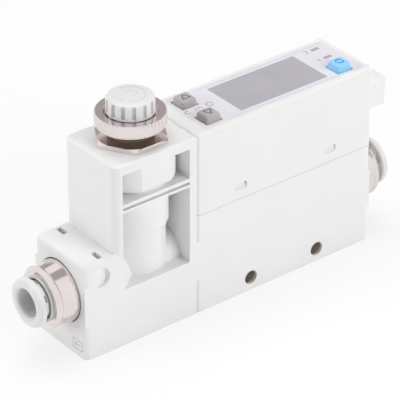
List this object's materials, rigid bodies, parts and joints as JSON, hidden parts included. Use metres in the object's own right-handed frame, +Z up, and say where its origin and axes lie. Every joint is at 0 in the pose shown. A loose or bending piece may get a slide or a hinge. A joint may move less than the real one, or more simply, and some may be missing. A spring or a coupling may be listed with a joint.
{
  "type": "flow switch",
  "caption": "Compact digital air flow switch with an integrated needle valve, a display with keys on top and a one-touch tube fitting at each end.",
  "frame": {"origin": "under the middle of the object, on the surface that it stands on", "axes": "+X along the flow axis towards the inlet, the sensor module's end; +Z up, towards the display"},
  "size_m": [0.0924, 0.0168, 0.0518],
  "materials": {
    "housing_plastic": "fine matte moulded white",
    "panel_film": "satin printed film",
    "display_tint": "glossy tinted window",
    "display_grey": "satin",
    "key_grey": "matte",
    "key_blue": "satin",
    "lens_dark": "glossy",
    "nickel": "nickel-plated brass, polished",
    "brass": "turned",
    "steel": "stamped stainless steel",
    "seal_rubber": "matte black",
    "knob_plastic": "satin white",
    "release_plastic": "pale grey, slightly translucent",
    "board_green": "varnished",
    "part_black": "moulded black",
    "contact_tin": "tinned"
  },
  "bodies": {
    "housing": {"valve_body": "housing_plastic", "sensor_body": "housing_plastic", "upper_housing": "housing_plastic", "panel_sheet": "panel_film", "display_window": "display_tint", "display_module": "display_grey", "display_board": "board_green", "key_switches": "part_black", "indicator_leds": "release_plastic", "main_board": "board_green", "board_screws": "steel", "header_pins": "contact_tin", "controller_chip": "part_black", "connector_shell": "housing_plastic", "connector_pins": "contact_tin", "flow_rectifier": "release_plastic", "sensor_board": "board_green", "sensor_gasket": "seal_rubber", "sensor_screws": "steel", "sensor_pins": "contact_tin", "needle_guide": "nickel", "guide_nut": "nickel", "guide_o_ring": "seal_rubber", "valve_seat": "brass", "joint_o_ring": "seal_rubber", "joint_clip": "steel", "indicator_lens_1": "lens_dark", "indicator_lens_2": "lens_dark", "near_mount_sleeve": "brass", "far_mount_sleeve": "brass", "outlet_sleeve": "nickel", "outlet_guide_ring": "release_plastic", "outlet_chuck": "steel", "outlet_tube_seal": "seal_rubber", "outlet_o_ring": "seal_rubber", "outlet_clip": "steel", "inlet_sleeve": "nickel", "inlet_guide_ring": "release_plastic", "inlet_chuck": "steel", "inlet_tube_seal": "seal_rubber", "inlet_o_ring": "seal_rubber", "inlet_clip": "steel"},
    "needle_stem": {"needle": "brass", "needle_o_ring": "seal_rubber"},
    "flow_knob": {"knob": "knob_plastic"},
    "knurled_ring": {"lock_ring": "nickel"},
    "up_button": {"up_key": "key_grey"},
    "down_button": {"down_key": "key_grey"},
    "set_button": {"set_key": "key_blue"},
    "outlet_release": {"outlet_release_button": "release_plastic"},
    "inlet_release": {"inlet_release_button": "release_plastic"}
  },
  "joints": [
    {"name": "needle_rise", "type": "slide", "parent": "housing", "child": "needle_stem", "axis": [0, 0, 1], "range_m": [-0.0015, 0.001]},
    {"name": "knob_turn", "type": "hinge", "parent": "needle_stem", "child": "flow_knob", "pos_m": [-0.01945, 0, 0.0518], "axis": [0, 0, 1], "range_deg": [-1081, 721]},
    {"name": "lock_ring_turn", "type": "hinge", "parent": "housing", "child": "knurled_ring", "pos_m": [-0.01945, 0, 0.0467], "axis": [0, 0, 1], "range_deg": [-180, 180]},
    {"name": "up_button_press", "type": "slide", "parent": "housing", "child": "up_button", "axis": [0, 0, -1], "range_m": [0, 0.0003], "stiffness_N_per_m": 2000, "springref_m": -0.0002},
    {"name": "down_button_press", "type": "slide", "parent": "housing", "child": "down_button", "axis": [0, 0, -1], "range_m": [0, 0.0003], "stiffness_N_per_m": 2000, "springref_m": -0.0002},
    {"name": "set_button_press", "type": "slide", "parent": "housing", "child": "set_button", "axis": [0, 0, -1], "range_m": [0, 0.0003], "stiffness_N_per_m": 2000, "springref_m": -0.0002},
    {"name": "outlet_release_press", "type": "slide", "parent": "housing", "child": "outlet_release", "axis": [1, 0, 0], "range_m": [0, 0.001], "stiffness_N_per_m": 500, "springref_m": -0.0004},
    {"name": "inlet_release_press", "type": "slide", "parent": "housing", "child": "inlet_release", "axis": [-1, 0, 0], "range_m": [0, 0.001], "stiffness_N_per_m": 500, "springref_m": -0.0004}
  ],
  "couplings": [
    {"joint": "knob_turn", "follows": "needle_rise", "rad_per_m": 12566}
  ]
}
